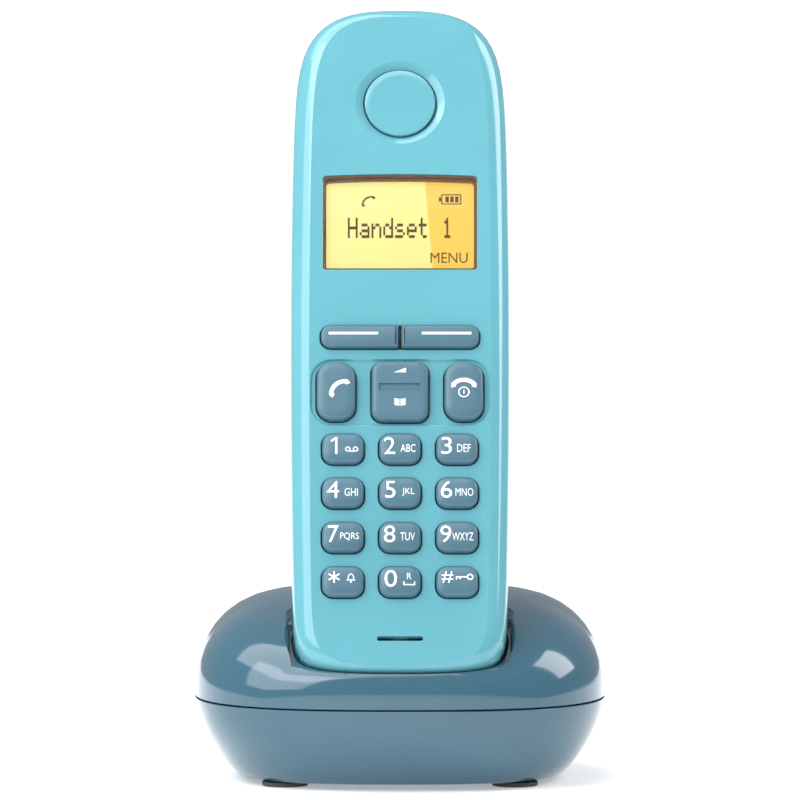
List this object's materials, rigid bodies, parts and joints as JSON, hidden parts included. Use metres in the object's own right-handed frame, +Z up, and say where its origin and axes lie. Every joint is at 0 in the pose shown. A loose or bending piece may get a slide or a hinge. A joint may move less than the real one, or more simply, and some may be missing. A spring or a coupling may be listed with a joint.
{
  "type": "cordless telephone",
  "caption": "Slim cordless telephone handset with a keypad and small display, leaning back in a compact charging base.",
  "frame": {"origin": "under the middle of the bounding box, on the surface that the rubber feet stand on", "axes": "+Z up, the front (keypad side) towards -Y, +X to the right as seen from the front"},
  "size_m": [0.0896, 0.093, 0.1653],
  "materials": {
    "handset_shell": "gloss turquoise moulded plastic",
    "base_shell": "gloss steel-blue moulded plastic",
    "key_plastic": "satin steel-blue moulded keys with printed white legends",
    "display_glass": "clear hard-coated acrylic window",
    "display_panel": "amber backlit liquid-crystal panel",
    "diffuser": "white backlight diffuser",
    "silicone": "pale translucent silicone mat",
    "circuit_board": "green solder mask on glass-fibre board",
    "tinned_steel": "tinned steel sheet",
    "screw_steel": "zinc-plated steel",
    "contact_metal": "plated spring bronze",
    "dark_plastic": "black moulded plastic",
    "foot_rubber": "soft grey rubber",
    "battery_can": "plain shrink sleeve over a metal can"
  },
  "bodies": {
    "base": {"base_upper_shell": "base_shell", "base_lower_shell": "base_shell", "base_circuit_board": "circuit_board", "base_shield_can": "tinned_steel", "base_antenna": "tinned_steel", "line_socket": "dark_plastic", "power_inlet": "dark_plastic", "paging_switch": "dark_plastic", "foot_front_left": "foot_rubber", "foot_front_right": "foot_rubber", "foot_rear_left": "foot_rubber", "foot_rear_right": "foot_rubber", "base_screw_left": "screw_steel", "base_screw_right": "screw_steel", "contact_carrier": "dark_plastic"},
    "handset": {"handset_front_shell": "handset_shell", "handset_rear_shell": "handset_shell", "display_window": "display_glass", "display_module": "display_panel", "display_backlight": "diffuser", "keypad_mat": "silicone", "earpiece_cap": "handset_shell", "earpiece_speaker": "dark_plastic", "ringer_speaker": "dark_plastic", "microphone": "tinned_steel", "handset_circuit_board": "circuit_board", "handset_shield_can": "tinned_steel", "handset_antenna": "tinned_steel", "battery_cell_left": "battery_can", "battery_cell_right": "battery_can", "battery_bridge_spring": "tinned_steel", "battery_terminal_left": "tinned_steel", "battery_terminal_right": "tinned_steel", "charge_pad_left": "contact_metal", "charge_pad_right": "contact_metal", "handset_screw_left": "screw_steel", "handset_screw_right": "screw_steel"},
    "battery_cover": {"battery_cover": "handset_shell"},
    "paging_button": {"paging_button": "key_plastic"},
    "charge_contact_left": {"charge_contact_left": "contact_metal"},
    "charge_contact_right": {"charge_contact_right": "contact_metal"},
    "softkey_left": {"softkey_left": "key_plastic"},
    "softkey_right": {"softkey_right": "key_plastic"},
    "talk_key": {"talk_key": "key_plastic"},
    "end_key": {"end_key": "key_plastic"},
    "key_1": {"key_1": "key_plastic"},
    "key_2": {"key_2": "key_plastic"},
    "key_3": {"key_3": "key_plastic"},
    "key_4": {"key_4": "key_plastic"},
    "key_5": {"key_5": "key_plastic"},
    "key_6": {"key_6": "key_plastic"},
    "key_7": {"key_7": "key_plastic"},
    "key_8": {"key_8": "key_plastic"},
    "key_9": {"key_9": "key_plastic"},
    "key_star": {"key_star": "key_plastic"},
    "key_0": {"key_0": "key_plastic"},
    "key_hash": {"key_hash": "key_plastic"},
    "navigation_rocker": {"navigation_rocker": "key_plastic"}
  },
  "joints": [
    {"name": "handset_lift", "type": "slide", "parent": "base", "child": "handset", "axis": [0, 0.454, 0.891], "range_m": [0, 0.065]},
    {"name": "battery_cover_open", "type": "hinge", "parent": "handset", "child": "battery_cover", "pos_m": [0, -0.00698, 0.04303], "axis": [-1, 0, 0], "range_deg": [0, 55]},
    {"name": "rocker_tilt", "type": "hinge", "parent": "handset", "child": "navigation_rocker", "pos_m": [0, -0.0149, 0.08455], "axis": [1, 0, 0], "range_deg": [-3, 3], "stiffness_Nm_per_rad": 0.06},
    {"name": "paging_press", "type": "slide", "parent": "base", "child": "paging_button", "axis": [0, -1, 0], "range_m": [0, 0.0008], "stiffness_N_per_m": 1200},
    {"name": "charge_contact_left_press", "type": "slide", "parent": "base", "child": "charge_contact_left", "axis": [0, -0.454, -0.891], "range_m": [0, 0.001], "stiffness_N_per_m": 900},
    {"name": "charge_contact_right_press", "type": "slide", "parent": "base", "child": "charge_contact_right", "axis": [0, -0.454, -0.891], "range_m": [0, 0.001], "stiffness_N_per_m": 900},
    {"name": "softkey_left_press", "type": "slide", "parent": "handset", "child": "softkey_left", "axis": [0, 0.891, -0.454], "range_m": [0, 0.0008], "stiffness_N_per_m": 1200},
    {"name": "softkey_right_press", "type": "slide", "parent": "handset", "child": "softkey_right", "axis": [0, 0.891, -0.454], "range_m": [0, 0.0008], "stiffness_N_per_m": 1200},
    {"name": "talk_key_press", "type": "slide", "parent": "handset", "child": "talk_key", "axis": [0, 0.891, -0.454], "range_m": [0, 0.0008], "stiffness_N_per_m": 1200},
    {"name": "end_key_press", "type": "slide", "parent": "handset", "child": "end_key", "axis": [0, 0.891, -0.454], "range_m": [0, 0.0008], "stiffness_N_per_m": 1200},
    {"name": "key_1_press", "type": "slide", "parent": "handset", "child": "key_1", "axis": [0, 0.891, -0.454], "range_m": [0, 0.0008], "stiffness_N_per_m": 1200},
    {"name": "key_2_press", "type": "slide", "parent": "handset", "child": "key_2", "axis": [0, 0.891, -0.454], "range_m": [0, 0.0008], "stiffness_N_per_m": 1200},
    {"name": "key_3_press", "type": "slide", "parent": "handset", "child": "key_3", "axis": [0, 0.891, -0.454], "range_m": [0, 0.0008], "stiffness_N_per_m": 1200},
    {"name": "key_4_press", "type": "slide", "parent": "handset", "child": "key_4", "axis": [0, 0.891, -0.454], "range_m": [0, 0.0008], "stiffness_N_per_m": 1200},
    {"name": "key_5_press", "type": "slide", "parent": "handset", "child": "key_5", "axis": [0, 0.891, -0.454], "range_m": [0, 0.0008], "stiffness_N_per_m": 1200},
    {"name": "key_6_press", "type": "slide", "parent": "handset", "child": "key_6", "axis": [0, 0.891, -0.454], "range_m": [0, 0.0008], "stiffness_N_per_m": 1200},
    {"name": "key_7_press", "type": "slide", "parent": "handset", "child": "key_7", "axis": [0, 0.891, -0.454], "range_m": [0, 0.0008], "stiffness_N_per_m": 1200},
    {"name": "key_8_press", "type": "slide", "parent": "handset", "child": "key_8", "axis": [0, 0.891, -0.454], "range_m": [0, 0.0008], "stiffness_N_per_m": 1200},
    {"name": "key_9_press", "type": "slide", "parent": "handset", "child": "key_9", "axis": [0, 0.891, -0.454], "range_m": [0, 0.0008], "stiffness_N_per_m": 1200},
    {"name": "key_star_press", "type": "slide", "parent": "handset", "child": "key_star", "axis": [0, 0.891, -0.454], "range_m": [0, 0.0008], "stiffness_N_per_m": 1200},
    {"name": "key_0_press", "type": "slide", "parent": "handset", "child": "key_0", "axis": [0, 0.891, -0.454], "range_m": [0, 0.0008], "stiffness_N_per_m": 1200},
    {"name": "key_hash_press", "type": "slide", "parent": "handset", "child": "key_hash", "axis": [0, 0.891, -0.454], "range_m": [0, 0.0008], "stiffness_N_per_m": 1200}
  ]
}
